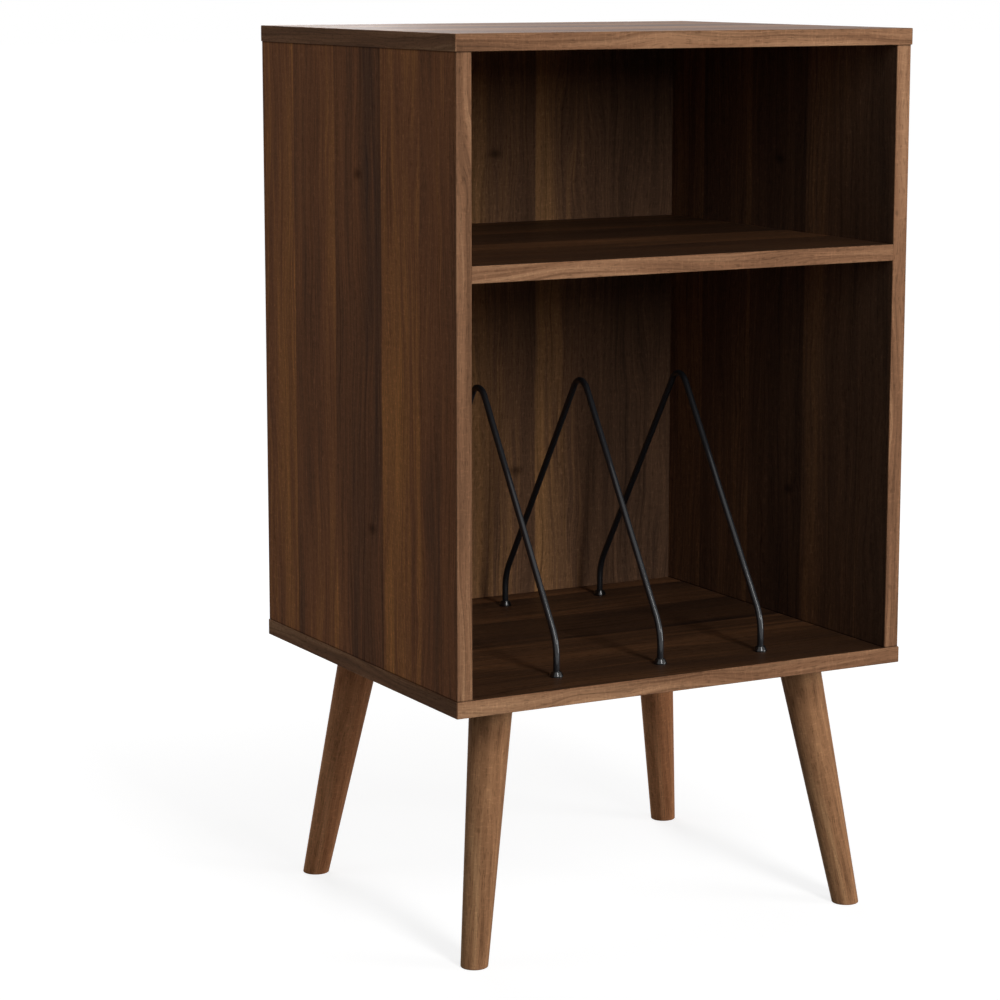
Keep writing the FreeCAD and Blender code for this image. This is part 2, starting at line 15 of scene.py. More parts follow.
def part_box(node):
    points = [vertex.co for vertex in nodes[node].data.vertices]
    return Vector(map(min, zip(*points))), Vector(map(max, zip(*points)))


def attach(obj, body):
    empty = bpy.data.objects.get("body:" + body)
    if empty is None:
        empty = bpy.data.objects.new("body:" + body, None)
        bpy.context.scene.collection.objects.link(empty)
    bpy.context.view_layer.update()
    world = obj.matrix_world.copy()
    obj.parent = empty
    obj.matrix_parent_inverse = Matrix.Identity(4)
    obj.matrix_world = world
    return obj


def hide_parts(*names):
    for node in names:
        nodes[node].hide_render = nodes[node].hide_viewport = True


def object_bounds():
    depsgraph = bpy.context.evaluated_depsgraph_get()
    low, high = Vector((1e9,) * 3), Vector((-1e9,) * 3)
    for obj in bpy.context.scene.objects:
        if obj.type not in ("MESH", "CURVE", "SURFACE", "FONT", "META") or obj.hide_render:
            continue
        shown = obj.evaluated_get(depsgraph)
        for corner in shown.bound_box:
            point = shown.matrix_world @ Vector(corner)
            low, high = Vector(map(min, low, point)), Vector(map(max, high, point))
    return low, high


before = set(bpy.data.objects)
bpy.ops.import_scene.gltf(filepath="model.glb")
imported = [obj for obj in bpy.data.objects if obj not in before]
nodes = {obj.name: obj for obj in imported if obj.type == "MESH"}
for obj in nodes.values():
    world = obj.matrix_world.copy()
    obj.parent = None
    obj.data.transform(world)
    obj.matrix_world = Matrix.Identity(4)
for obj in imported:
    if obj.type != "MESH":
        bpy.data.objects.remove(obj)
cad_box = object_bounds()
MM = 0.001
print(len(nodes), "CAD nodes, box in mm:", [round(side / MM) for side in cad_box[1] - cad_box[0]])

# %% [markdown]
# ## Colours and nodes
# A colour picker shows sRGB hex values, and shaders work in linear light, so one function turns the first
# into the second. Materials are small graphs of nodes. They could be built by hand in the shader editor;
# here one function adds a node, sets it and links it, so that a graph reads from its inputs to its output.

# %% Helpers for materials
def linear(code):
    """An sRGB hex colour as linear red, green, blue and alpha, by the curve of the sRGB standard."""
    channels = [int(code[i:i + 2], 16) / 255 for i in (1, 3, 5)]
    return [c / 12.92 if c <= 0.04045 else ((c + 0.055) / 1.055) ** 2.4 for c in channels] + [1.0]


def add(tree, kind, inputs, stops=(), **settings):
    """Add a node with its settings. Each input is a value, or a socket to link. A ramp takes colour stops."""
    node = tree.nodes.new(kind)
    for key, value in settings.items():
        setattr(node, key, value)
    for key, value in inputs.items():
        if isinstance(value, bpy.types.NodeSocket):
            tree.links.new(value, node.inputs[key])
        else:
            node.inputs[key].default_value = value
    for index, (position, colour) in enumerate(stops):
        elements = node.color_ramp.elements
        stop = elements[index] if index < len(elements) else elements.new(position)
        stop.position = position
        stop.color = colour
    return node


def new_material(name):
    """An empty material and its node tree."""
    material = bpy.data.materials.new(name)
    material.use_nodes = True
    material.node_tree.nodes.clear()
    return material, material.node_tree


def dress(names, material):
    """Give CAD nodes a material. Their meshes stay as they are."""
    for name in names:
        nodes[name].material_slots[0].material = material
    print(material.name, "on", ", ".join(names))


print("helpers for colours and nodes are ready")

# %% [markdown]
# ## The walnut print
# The boards are chipboard faced with melamine paper that carries a photograph of walnut veneer. On the real
# stand the print shows upright leaves of veneer side by side, some dark and some golden, with straight joints
# between them, fine pores along the grain, a faint ripple across it and small knots. A scanned picture could
# be used, but a graph of stretched noise stays sharp at any distance and needs no file.
# Every pattern below is noise drawn out along the grain, with its width and length given in millimetres.

# %% Noise along the grain
NOISE_DETAIL = 2.0
# The grain wanders sideways, as (width, length, furthest to either side)
WANDER = (45.0, 210.0, 16.0)


def print_axes(across, along):
    """The matrix that turns a place on a piece into width, length and depth of its print."""
    return Matrix((across, along, across.cross(along)))


def drawn_out(tree, place, width, length):
    """Noise that is about width across the grain and length along it, in mm."""
    scale = (1 / (width * MM), 1 / (length * MM), 1 / (width * MM))
    stretched = add(tree, "ShaderNodeMapping", {"Vector": place, "Scale": scale})
    inputs = {"Vector": stretched.outputs[0], "Scale": 1.0, "Detail": NOISE_DETAIL}
    return add(tree, "ShaderNodeTexNoise", inputs).outputs["Fac"]


def wander(tree, place):
    """Shift a place across the grain, so that the lines beyond it aren't ruler-straight."""
    width, length, reach = WANDER
    shift = add(
        tree, "ShaderNodeMapRange",
        {"Value": drawn_out(tree, place, width, length), "To Min": -reach * MM, "To Max": reach * MM},
    )
    sideways = add(tree, "ShaderNodeCombineXYZ", {0: shift.outputs[0]})
    return add(tree, "ShaderNodeVectorMath", {0: place, 1: sideways.outputs[0]}).outputs[0]


print("the grain wanders up to", WANDER[2], "mm to either side")

# %% [markdown]
# ### Marks on the print
# Growth lines, pores and knots are darker than the wood between them. Flecks and the ripple across the grain
# are lighter. All of them multiply one number, the light of the print, which scales the colour in the end.
# They could be mixed in as colours, but one number can also give the surface its slight relief.

# %% Marks on the print
# Kinds of marks, as (width, length, noise where a mark starts, noise where it is full, light of a full mark)
# Real pores are 0.2 mm wide: they are drawn wider, because finer ones wouldn't show
GROWTH_LINES = (2.4, 260.0, 0.52, 0.74, 0.70)
PORES = (0.9, 9.0, 0.53, 0.68, 0.68)
FLECKS = (1.8, 7.0, 0.55, 0.74, 1.38)
RIPPLE = (5.0, 1.8, 0.50, 0.76, 1.22)
# How far a knot reaches across and along the grain in mm, and the light at its middle
KNOT_SIZE = (13.0, 8.0)
KNOT_LIGHT = 0.42
# How far the dark of a joint reaches into an upright piece in mm, and the light at the joint itself. The dark
# is partly the joint and partly painted shade where the upright meets the board above or below
JOINT_SHADE_REACH = 1.6
JOINT_SHADE_LIGHT = 0.15


def marks(tree, place, light, width, length, start, full, mark_light):
    """Multiply light by one kind of mark."""
    mark = add(
        tree, "ShaderNodeMapRange",
        {
            "Value": drawn_out(tree, place, width, length), "From Min": start, "From Max": full,
            "To Min": 1.0, "To Max": mark_light,
        },
        interpolation_type="SMOOTHSTEP",
    )
    return add(tree, "ShaderNodeMath", {0: light, 1: mark.outputs[0]}, operation="MULTIPLY").outputs[0]


def knot(tree, place, light, across, along):
    """Multiply light by a small dark knot at a place on the print, in mm."""
    size = [1 / (side * MM) for side in KNOT_SIZE]
    centre = [-across / KNOT_SIZE[0], -along / KNOT_SIZE[1], 0.0]
    local = add(tree, "ShaderNodeMapping", {"Vector": place, "Scale": (*size, 0.0), "Location": centre})
    distance = add(tree, "ShaderNodeVectorMath", {0: local.outputs[0]}, operation="LENGTH")
    spot = add(
        tree, "ShaderNodeMapRange",
        {"Value": distance.outputs["Value"], "To Min": KNOT_LIGHT, "To Max": 1.0},
        interpolation_type="SMOOTHSTEP",
    )
    return add(tree, "ShaderNodeMath", {0: light, 1: spot.outputs[0]}, operation="MULTIPLY").outputs[0]


def joint_shade_lines(tree, light, name):
    """Multiply light by a dark hairline at the top and bottom of a CAD node: partly joint, partly painted
    shade.
    """
    low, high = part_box(name)
    middle = (low.z + high.z) / 2
    half = (high.z - low.z) / 2
    coordinates = add(tree, "ShaderNodeTexCoord", {})
    height = add(tree, "ShaderNodeSeparateXYZ", {0: coordinates.outputs["Object"]})
    offset = add(tree, "ShaderNodeMath", {0: height.outputs[2], 1: middle}, operation="SUBTRACT")
    distance = add(tree, "ShaderNodeMath", {0: offset.outputs[0]}, operation="ABSOLUTE")
    line = add(
        tree, "ShaderNodeMapRange",
        {
            "Value": distance.outputs[0], "From Min": half - JOINT_SHADE_REACH * MM, "From Max": half,
            "To Min": 1.0, "To Max": JOINT_SHADE_LIGHT,
        },
    )
    return add(tree, "ShaderNodeMath", {0: light, 1: line.outputs[0]}, operation="MULTIPLY").outputs[0]


print("marks from", min(kind[0] for kind in (GROWTH_LINES, PORES, FLECKS, RIPPLE)), "mm wide")

# %% [markdown]
# ### Wood from tone and light
# A tone from 0 to 1 says how dark or golden the wood is at a place, and a ramp of three colours turns it into
# a colour. Soft noises of several widths move the tone, because no leaf of veneer has one even shade.

# %% Wood from tone and light
# Soft shades within the wood, as (width, length, strength)
SHADES = ((30.0, 330.0, 0.80), (7.0, 240.0, 0.72), (1.8, 110.0, 0.60))
NOISE_MIDDLE = 0.5
RELIEF_STRENGTH = 0.5
# Marks of this light are rougher than the plain wood by this much
DARK_MARK = 0.5
MARK_ROUGHNESS = 0.12
# Melamine, lacquer and powder coat all bend light about as window glass does
COATING_IOR = 1.5


def shaded(tree, tone, noise, strength):
    """Add a noise to a tone, which is a number or a socket. The middle of the noise changes nothing."""
    centred = add(tree, "ShaderNodeMath", {0: noise, 1: NOISE_MIDDLE}, operation="SUBTRACT")
    inputs = {0: centred.outputs[0], 1: strength, 2: tone}
    return add(tree, "ShaderNodeMath", inputs, operation="MULTIPLY_ADD").outputs[0]


def wood_tone(tree, place, tone, contrast):
    """Add the soft shades to a tone."""
    for width, length, strength in SHADES:
        tone = shaded(tree, tone, drawn_out(tree, place, width, length), strength * contrast)
    return tone


def finish_wood(tree, tone, light, colours, roughness, gloss, relief):
    """Colour the tone, darken it by the marks, and let the marks lie a little deeper."""
    last = len(colours) - 1
    stops = [(i / last, linear(code)) for i, code in enumerate(colours)]
    wood = add(tree, "ShaderNodeValToRGB", {"Fac": tone}, stops=stops)
    inputs = {0: wood.outputs["Color"], "Scale": light}
    colour = add(tree, "ShaderNodeVectorMath", inputs, operation="SCALE")
    inputs = {"Height": light, "Strength": RELIEF_STRENGTH, "Distance": relief * MM}
    bump = add(tree, "ShaderNodeBump", inputs)
    rough = add(
        tree, "ShaderNodeMapRange",
        {
            "Value": light, "From Min": DARK_MARK, "From Max": 1.0,
            "To Min": roughness + MARK_ROUGHNESS, "To Max": roughness,
        },
    )
    surface = add(
        tree, "ShaderNodeBsdfPrincipled",
        {
            "Base Color": colour.outputs[0], "Roughness": rough.outputs[0], "IOR": COATING_IOR,
            "Specular IOR Level": gloss, "Normal": bump.outputs[0],
        },
    )
    add(tree, "ShaderNodeOutputMaterial", {"Surface": surface.outputs[0]})


print(len(SHADES), "soft shades in the wood")

# %% [markdown]
# ## Leaves of veneer
# The print is a row of six leaves, each with a tone that changes from its left edge to its right. The leaves
# could be separate materials on separate faces, but one colour ramp across the print gives every leaf its
# width and tone, on any board.

# %% Leaves of veneer
# Widths from left to right in mm, and the tones at each leaf's left and right edges. The back has tones of
# its own, which fall towards its right end: partly its print, and partly painted shade from the right wall
# in that corner. Places on the print are measured from the fourth leaf, called the golden one
LEAF_WIDTHS = (69.0, 87.0, 95.0, 74.0, 72.0, 60.0)
LEAF_TONES = ((0.53, 0.68), (0.28, 0.66), (0.36, 0.21), (0.63, 0.58), (0.41, 0.33), (0.44, 0.38))
BACK_LEAF_TONES_AND_SHADE = ((0.38, 0.59), (0.31, 0.66), (0.92, 0.42), (0.86, 0.28), (0.24, 0.14), (0.14, 0.12))
# How far the tones of two leaves blend at a joint, in mm
LEAF_JOINT = 1.2
PRINT_WIDTH = sum(LEAF_WIDTHS)
GOLDEN_JOINT = sum(LEAF_WIDTHS[:3])
# Knots, as (mm across from the golden leaf's left joint, height in mm above the floor)
KNOTS = ((-22.0, 380.0), (-46.0, 700.0))


def leaf_tone(tree, place, leaf_tones, contrast):
    """The tone of the leaves, with the print's zero at the golden leaf's left joint."""
    mean = sum(width * sum(tones) / 2 for width, tones in zip(LEAF_WIDTHS, leaf_tones)) / PRINT_WIDTH
    stops = []
    left = 0.0
    for width, tones in zip(LEAF_WIDTHS, leaf_tones):
        edges = (left + LEAF_JOINT / 2, left + width - LEAF_JOINT / 2)
        for position, own_tone in zip(edges, tones):
            tone = mean + contrast * (own_tone - mean)
            stops.append((position / PRINT_WIDTH, (tone, tone, tone, 1.0)))
        left += width
    across = add(tree, "ShaderNodeSeparateXYZ", {0: place})
    share = add(
        tree, "ShaderNodeMapRange",
        {
            "Value": across.outputs[0], "From Min": -GOLDEN_JOINT * MM,
            "From Max": (PRINT_WIDTH - GOLDEN_JOINT) * MM,
        },
    )
    return add(tree, "ShaderNodeValToRGB", {"Fac": share.outputs[0]}, stops=stops).outputs["Color"]


print(len(LEAF_WIDTHS), "leaves,", PRINT_WIDTH, "mm in all")

# %% [markdown]
# ## Boards
# Sides and back have their grain upright, and the top, the shelf and the base have it from left to right.
# A Mapping node turns the object's own coordinates so that the print's width, length and depth are its axes.
# UV maps could do the same, but the meshes of CAD nodes stay as they are.

# %% Laminate for the boards
# Melamine paper, pressed against a satin plate: an even soft sheen with the pores barely felt
LAMINATE_ROUGHNESS = 0.60
LAMINATE_GLOSS = 0.02
LAMINATE_RELIEF = 0.08
# The level boards show more of that sheen
LEVEL_ROUGHNESS = 0.42
LEVEL_GLOSS = 0.05


def laminate(
    name, across, along, golden_joint, colours, contrast=1.0, roughness=LAMINATE_ROUGHNESS,
    gloss=LAMINATE_GLOSS, lift=0.0, between=None, leaf_tones=LEAF_TONES,
):
    """A board's material: across and along are the print's axes, golden_joint and lift its place in mm."""
    material, tree = new_material(name)
    coordinates = add(tree, "ShaderNodeTexCoord", {})
    place = add(
        tree, "ShaderNodeMapping",
        {
            "Vector": coordinates.outputs["Object"], "Rotation": print_axes(across, along).to_euler(),
            "Location": (-golden_joint * MM, lift * MM, 0),
        },
    ).outputs[0]
    grain = wander(tree, place)
    tone = wood_tone(tree, grain, leaf_tone(tree, place, leaf_tones, contrast), contrast)
    light = 1.0
    for kind in (GROWTH_LINES, PORES, FLECKS, RIPPLE):
        light = marks(tree, grain, light, *kind)
    for knot_place in KNOTS:
        light = knot(tree, place, light, *knot_place)
    # A dark hairline at the board's top and bottom: partly the joint, partly painted shade
    if between:
        light = joint_shade_lines(tree, light, between)
    finish_wood(tree, tone, light, colours, roughness, gloss, LAMINATE_RELIEF)
    return material


print("laminate of roughness", LAMINATE_ROUGHNESS)

# %% [markdown]
# ### Each board's own stretch of the print, and painted light and shade in its colours
# On the real stand every board is cut from another stretch of the paper. The colours differ by board as well:
# the right wall, the back and the level boards are darker, which is painted shade, and the top is lighter
# than the shelf and the base, which is painted light. One material could serve all the upright boards.

# %% Dress the boards
# The darker colours of the right wall, back, shelf and base are painted shade, and the top's lighter ones
# painted light
LEFT_COLOURS = ("#51392b", "#9b6645", "#db9658")
RIGHT_COLOURS_PAINTED_SHADE = ("#392d26", "#694f3d", "#a07852")
BACK_COLOURS_PAINTED_SHADE = ("#382a22", "#6c4f3b", "#b08152")
LEVEL_COLOURS_PAINTED_SHADE = ("#231813", "#462f1f", "#714c31")
TOP_COLOURS_PAINTED_LIGHT = ("#4a3221", "#875a38", "#b9824e")
# Inside the cabinet, tones and shades differ by this share of the values above
INNER_CONTRAST = 0.7
LEFT_TO_RIGHT = Vector((1, 0, 0))
BACK_TO_FRONT = Vector((0, -1, 0))
UP = Vector((0, 0, 1))
# Where the golden leaf's left joint lies on each board, in mm from the middle along the print's width
SIDE_JOINT = 54.0
BACK_JOINT = 59.0
LEVEL_JOINT = 20.0
# The level boards take their print from beyond the knots, this far along it in mm
LEVEL_LIFT = 1500.0

for board, name, colours, contrast in (
    ("left_side_panel", "laminate_left_side", LEFT_COLOURS, 1.0),
    ("right_side_panel", "laminate_right_side", RIGHT_COLOURS_PAINTED_SHADE, INNER_CONTRAST),
):
    dress([board], laminate(name, BACK_TO_FRONT, UP, SIDE_JOINT, colours, contrast, between=board))
# The back's tones fall towards its right end, partly as painted shade from the right wall
dress(
    ["back_panel"],
    laminate(
        "laminate_back", LEFT_TO_RIGHT, UP, BACK_JOINT, BACK_COLOURS_PAINTED_SHADE, INNER_CONTRAST,
        leaf_tones=BACK_LEAF_TONES_AND_SHADE,
    ),
)
for boards, name, colours in (
    (["shelf", "base_panel"], "laminate_shelf_and_base", LEVEL_COLOURS_PAINTED_SHADE),
    (["top_panel"], "laminate_top", TOP_COLOURS_PAINTED_LIGHT),
):
    dress(
        boards,
        laminate(
            name, BACK_TO_FRONT, LEFT_TO_RIGHT, LEVEL_JOINT, colours, roughness=LEVEL_ROUGHNESS,
            gloss=LEVEL_GLOSS, lift=LEVEL_LIFT,
        ),
    )

# %% [markdown]
# ## Edge strips
# The raw edges of the boards are covered with thin plastic strips, printed to match and without leaves. The
# grain runs along each strip, and a dark hairline shows where an upright strip ends: partly the joint, and
# partly painted shade from the boards above and below. The strips round a board are one CAD node, so their
# material itself asks whether a point is on a side strip and turns the grain there. Separate nodes wouldn't
# need that.

# %% Edge strips
# ABS strip with a printed and lacquered face: the same soft sheen, with grain but hardly any relief
EDGING_ROUGHNESS = 0.58
EDGING_GLOSS = 0.02
EDGING_RELIEF = 0.04
EDGING_COLOURS = ("#533b2b", "#8b6449", "#b78c69")
EDGING_TONE = 0.54
EDGING_CONTRAST = 1.2
STRIP_THICKNESS = 1.0
# How far the strips' print is moved across the grain in mm, to another stretch of it
STRIP_SHIFT = 110.0


def edging(name, across, along, side_strips=False, between=None):
    """The material of a strip with its grain along one axis. Side strips run from back to front instead."""
    material, tree = new_material(name)
    coordinates = add(tree, "ShaderNodeTexCoord", {})
    place = add(
        tree, "ShaderNodeMapping",
        {
            "Vector": coordinates.outputs["Object"], "Rotation": print_axes(across, along).to_euler(),
            "Location": (STRIP_SHIFT * MM, 0, 0),
        },
    ).outputs[0]
    if side_strips:
        side_turn = print_axes(across, BACK_TO_FRONT).to_euler()
        inputs = {"Vector": coordinates.outputs["Object"], "Rotation": side_turn}
        side_place = add(tree, "ShaderNodeMapping", inputs)
        split = add(tree, "ShaderNodeSeparateXYZ", {0: coordinates.outputs["Object"]})
        distance = add(tree, "ShaderNodeMath", {0: split.outputs[0]}, operation="ABSOLUTE")
        edge = cad_box[1].x - STRIP_THICKNESS * MM
        on_side = add(tree, "ShaderNodeMath", {0: distance.outputs[0], 1: edge}, operation="GREATER_THAN")
        # A Mix node has its two vectors at sockets 4 and 5
        inputs = {0: on_side.outputs[0], 4: place, 5: side_place.outputs[0]}
        place = add(tree, "ShaderNodeMix", inputs, data_type="VECTOR").outputs[1]
    grain = wander(tree, place)
    tone = wood_tone(tree, grain, EDGING_TONE, EDGING_CONTRAST)
    light = 1.0
    for kind in (GROWTH_LINES, PORES, RIPPLE):
        light = marks(tree, grain, light, *kind)
    # A dark hairline at the upright strips' ends: partly the joint, partly painted shade
    if between:
        light = joint_shade_lines(tree, light, between)
    finish_wood(tree, tone, light, EDGING_COLOURS, EDGING_ROUGHNESS, EDGING_GLOSS, EDGING_RELIEF)
    return material


upright = edging("edging_upright", LEFT_TO_RIGHT, UP, between="left_side_edging")
dress(["left_side_edging", "right_side_edging"], upright)
dress(["shelf_edging"], edging("edging_shelf", UP, LEFT_TO_RIGHT))
dress(["top_edging", "base_edging"], edging("edging_round", UP, LEFT_TO_RIGHT, side_strips=True))

# %% [markdown]
# ## Legs
# The legs are turned from solid wood and stained to match the boards, so their grain runs through the wood
# and along the slanted axis. The growth rings cut the cone at a low angle and show as long narrow arches.
# They could be drawn as stripes, but the material does what the tree does: it measures how far a point lies
# from the heart of the tree, which is off to one side of the leg.

# %% Solid wood for the legs
# Stained and lacquered hardwood: grain all through it, and a low silky sheen
LEG_ROUGHNESS = 0.5
LEG_GLOSS = 0.02
LEG_RELIEF = 0.06
LEG_CONTRAST = 0.9
FRONT_LEG_COLOURS = ("#6c4a33", "#aa7c58", "#cb9d72")
# Lighter and warmer than the front legs' colours: painted light on the rear legs
REAR_LEG_COLOURS_PAINTED_LIGHT = ("#794d33", "#bd8058", "#e1a172")
# Each leg is turned from its own piece of wood, as (tone, colours). The rear legs' higher tones and their
# lighter, warmer colours are painted light, which lifts them out of the cabinet's shade
LEG_WOOD_AND_PAINTED_LIGHT = {
    "front_left": (0.49, FRONT_LEG_COLOURS), "front_right": (0.50, FRONT_LEG_COLOURS),
    "rear_left": (0.64, REAR_LEG_COLOURS_PAINTED_LIGHT), "rear_right": (0.62, REAR_LEG_COLOURS_PAINTED_LIGHT),
}
# Points this near to the height of a leg's end, in mm, are on its rim
LEG_RIM = 2.0
# The heart of the tree beside the leg's foot in mm, and how far it leans from the leg's axis in degrees
HEART = (16.0, 7.0)
HEART_LEAN = 5.5
RING_WIDTH = 7.0
RING_STRENGTH = 1.2


def leg_axis(name):
    """The middle of a leg's foot, and the direction of its axis."""
    vertices = [vertex.co for vertex in nodes[name].data.vertices]
    low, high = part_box(name)
    ends = []
    for level in (low.z, high.z):
        rim = [co for co in vertices if abs(co.z - level) < LEG_RIM * MM]
        middle = [(min(co[i] for co in rim) + max(co[i] for co in rim)) / 2 for i in (0, 1)]
        ends.append(Vector((*middle, level)))
    return ends[0], (ends[1] - ends[0]).normalized()


def solid_walnut(name, leg_tone, colours, foot, axis):
    """Wood whose grain follows a leg's axis."""
    material, tree = new_material(name)
    axes = print_axes(axis.orthogonal().normalized(), axis)
    coordinates = add(tree, "ShaderNodeTexCoord", {})
    place = add(
        tree, "ShaderNodeMapping",
        {
            "Vector": coordinates.outputs["Object"], "Rotation": axes.to_euler(),
            "Location": -(axes @ foot),
        },
    ).outputs[0]
    grain = wander(tree, place)
    leaning = add(
        tree, "ShaderNodeMapping",
        {
            "Vector": grain, "Location": (HEART[0] * MM, 0, HEART[1] * MM),
            "Rotation": (0, 0, math.radians(HEART_LEAN)),
        },
    )
    heart = add(tree, "ShaderNodeMapping", {"Vector": leaning.outputs[0], "Scale": (1, 0, 1)})
    radius = add(tree, "ShaderNodeVectorMath", {0: heart.outputs[0]}, operation="LENGTH")
    inputs = {"W": radius.outputs["Value"], "Scale": 1 / (RING_WIDTH * MM), "Detail": NOISE_DETAIL}
    rings = add(tree, "ShaderNodeTexNoise", inputs, noise_dimensions="1D")
    tone = shaded(tree, leg_tone, rings.outputs["Fac"], RING_STRENGTH)
    tone = wood_tone(tree, grain, tone, LEG_CONTRAST)
    light = 1.0
    for kind in (PORES, RIPPLE):
        light = marks(tree, grain, light, *kind)
    finish_wood(tree, tone, light, colours, LEG_ROUGHNESS, LEG_GLOSS, LEG_RELIEF)
    return material


for corner, (leg_tone, colours) in LEG_WOOD_AND_PAINTED_LIGHT.items():
    leg = f"{corner}_leg"
    dress([leg], solid_walnut(f"solid_walnut_{corner}", leg_tone, colours, *leg_axis(leg)))

# %% [markdown]
# ## Fittings
# The fittings hardly show, but the stand may be seen from below or taken apart. Screws, cams and bolts are
# zinc-plated steel, the leg plates are black powder-coated steel, and the dowels are beech. A flat colour
# would do at this size, but each gets the faint cloudiness and the fine relief that its surface really has.

# %% Fittings
SPOT_DETAIL = 3.0
# The noise at which a spot starts to show, and at which it is full
SPOT_NOISE = (0.35, 0.65)
SPOT_ROUGHNESS = 0.08
SPOT_RELIEF_STRENGTH = 0.4
COAT_ROUGHNESS = 0.07


def plain_material(name, colour, spots, spot_size, roughness, relief, metallic=0.0, gloss=0.5, coat=0.0):
    """A material of one colour that wanders to a second in spots of a size in mm, with a fine relief."""
    material, tree = new_material(name)
    coordinates = add(tree, "ShaderNodeTexCoord", {})
    inputs = {"Vector": coordinates.outputs["Object"], "Scale": 1 / (spot_size * MM), "Detail": SPOT_DETAIL}
    noise = add(tree, "ShaderNodeTexNoise", inputs).outputs["Fac"]
    stops = list(zip(SPOT_NOISE, (linear(colour), linear(spots))))
    wandering = add(tree, "ShaderNodeValToRGB", {"Fac": noise}, stops=stops)
    inputs = {"Value": noise, "To Min": roughness - SPOT_ROUGHNESS, "To Max": roughness + SPOT_ROUGHNESS}
    rough = add(tree, "ShaderNodeMapRange", inputs)
    inputs = {"Height": noise, "Strength": SPOT_RELIEF_STRENGTH, "Distance": relief * MM}
    bump = add(tree, "ShaderNodeBump", inputs)
    surface = add(
        tree, "ShaderNodeBsdfPrincipled",
        {
            "Base Color": wandering.outputs["Color"], "Roughness": rough.outputs[0], "Metallic": metallic,
            "IOR": COATING_IOR, "Specular IOR Level": gloss, "Normal": bump.outputs[0], "Coat Weight": coat,
            "Coat Roughness": COAT_ROUGHNESS,
        },
    )
    add(tree, "ShaderNodeOutputMaterial", {"Surface": surface.outputs[0]})
    return material


# Zinc plating: a pale bluish metal, cloudy where the bath left its bloom
zinc = plain_material(
    "zinc_plated_steel", "#c9ccd0", "#a9adb2", spot_size=2.5, roughness=0.32, relief=0.01, metallic=1.0
)
dress(["base_screws", "leg_plate_screws", "leg_screws", "shelf_cams", "shelf_cam_bolts"], zinc)
# Powder coat: baked plastic dust, which flows into a fine orange peel
plate_coat = plain_material(
    "black_powder_coat", "#17181a", "#1d1e20", spot_size=1.2, roughness=0.5, relief=0.02
)
dress([f"{corner}_leg_plate" for corner in LEG_WOOD_AND_PAINTED_LIGHT], plate_coat)
# Beech: pale pinkish wood with short flecks
beech = plain_material("beech_wood", "#d9b48c", "#c39a70", spot_size=1.6, roughness=0.6, relief=0.02)
dress(["top_dowels", "base_dowels", "shelf_dowels"], beech)

# %% [markdown]
# ## Modelling tools
# The wires and collars are modelled in edit mode. A ring of vertices is pushed on, widened or bent, and each
# step leaves the newest ring selected for the next. A closed piece then gets its faces turned outwards and
# its place written into the mesh, so that its object sits at the origin as a CAD node does.

# %% Rings that are pushed and bent
def start_ring(name, centre, radius, sides, fill="NOTHING"):
    """A new piece that starts as a level ring, in edit mode with the ring selected."""
    bpy.ops.object.select_all(action="DESELECT")
    bpy.ops.mesh.primitive_circle_add(vertices=sides, radius=radius, location=centre, fill_type=fill)
    piece = bpy.context.object
    piece.name = name
    bpy.ops.object.mode_set(mode="EDIT")
    return piece


def push(offset):
    """Extrude the selected ring by an offset."""
    bpy.ops.mesh.extrude_edges_move(TRANSFORM_OT_translate={"value": offset})


def resize(centre, factor):
    """Scale the selected ring about an upright axis."""
    bpy.ops.transform.resize(value=(factor, factor, 1), center_override=centre)


def bend(centre, angle, steps):
    """Spin the selected ring about a centre, from the rear up and over to the front."""
    bpy.ops.mesh.spin(steps=steps, angle=angle, center=centre, axis=(-1, 0, 0))


print("rings can be pushed, resized and bent")

# %% [markdown]
# ### Finishing a piece
# No real edge is perfectly sharp, so the rims get a small bevel. A bevel modifier could find them by angle,
# but a test on place picks exactly the rims that a hand would feel.

# %% Rounding, finishing and copying
# Two ends of an edge that differ by less than this in height, in metres, are level
LEVEL = 0.00001
ROUND_SEGMENTS = 3


def round_edges(piece, is_rim, width):
    """Bevel the level edges whose ends pass a test."""
    bpy.ops.mesh.select_mode(type="EDGE")
    bpy.ops.mesh.select_all(action="DESELECT")
    piece.update_from_editmode()
    bpy.ops.object.mode_set(mode="OBJECT")
    places = [piece.matrix_world @ vertex.co for vertex in piece.data.vertices]
    for edge in piece.data.edges:
        a, b = [places[index] for index in edge.vertices]
        edge.select = abs(a.z - b.z) < LEVEL and is_rim(a) and is_rim(b)
    bpy.ops.object.mode_set(mode="EDIT")
    bpy.ops.mesh.bevel(offset=width, segments=ROUND_SEGMENTS, affect="EDGES")


def finish_piece(smooth_angle):
    """Turn the faces outwards, put the place into the mesh, and smooth the faces that meet at a low angle."""
    bpy.ops.mesh.select_all(action="SELECT")
    bpy.ops.mesh.normals_make_consistent(inside=False)
    bpy.ops.object.mode_set(mode="OBJECT")
    bpy.ops.object.transform_apply(location=True, rotation=True, scale=True)
    bpy.ops.object.shade_smooth_by_angle(angle=math.radians(smooth_angle))


def copy_piece(piece, name, offset):
    """A copy with its own mesh, moved by an offset that ends up in the mesh."""
    bpy.ops.object.select_all(action="DESELECT")
    piece.select_set(True)
    bpy.context.view_layer.objects.active = piece
    bpy.ops.object.duplicate(linked=False)
    bpy.ops.transform.translate(value=offset)
    bpy.ops.object.transform_apply(location=True, rotation=False, scale=False)
    copy = bpy.context.object
    copy.name = name
    return copy


print("edges are rounded in", ROUND_SEGMENTS, "segments")

